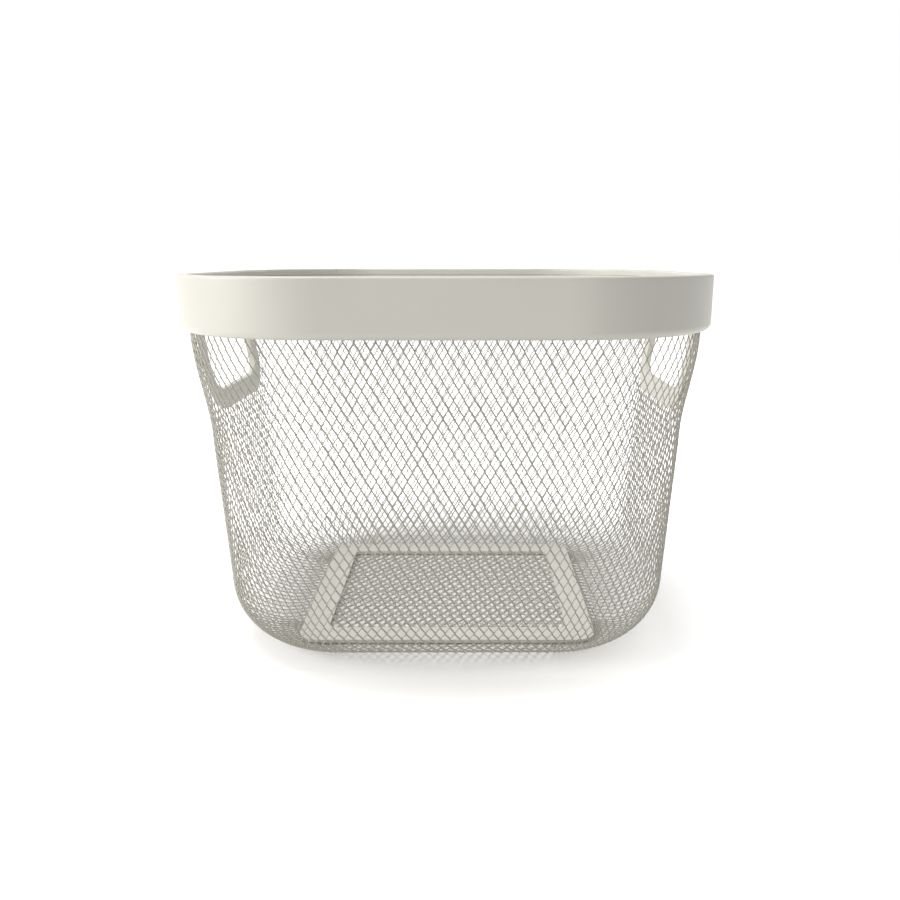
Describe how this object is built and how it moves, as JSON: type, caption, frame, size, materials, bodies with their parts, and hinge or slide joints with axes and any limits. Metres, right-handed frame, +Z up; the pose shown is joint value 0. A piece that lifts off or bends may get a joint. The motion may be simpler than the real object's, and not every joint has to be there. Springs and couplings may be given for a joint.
{
  "type": "locker basket",
  "caption": "Open steel mesh storage basket with a rounded painted rim band, hand holes in both ends and a pressed floor frame.",
  "frame": {"origin": "centre of the footprint, on the surface the basket stands on", "axes": "+X along the long side towards the right end wall, +Y towards the back wall, +Z up"},
  "size_m": [0.33, 0.305, 0.238],
  "materials": {
    "rim_enamel": "satin",
    "mesh_enamel": "satin",
    "frame_enamel": "satin",
    "hoop_steel": "plain"
  },
  "bodies": {
    "root": {"rim_outer_band": "rim_enamel", "rim_inner_band": "rim_enamel", "rim_hoop_wire": "hoop_steel", "wall_mesh": "mesh_enamel", "floor_mesh": "mesh_enamel", "base_frame": "frame_enamel", "hand_frame_left": "frame_enamel", "hand_frame_right": "frame_enamel"}
  },
  "joints": []
}
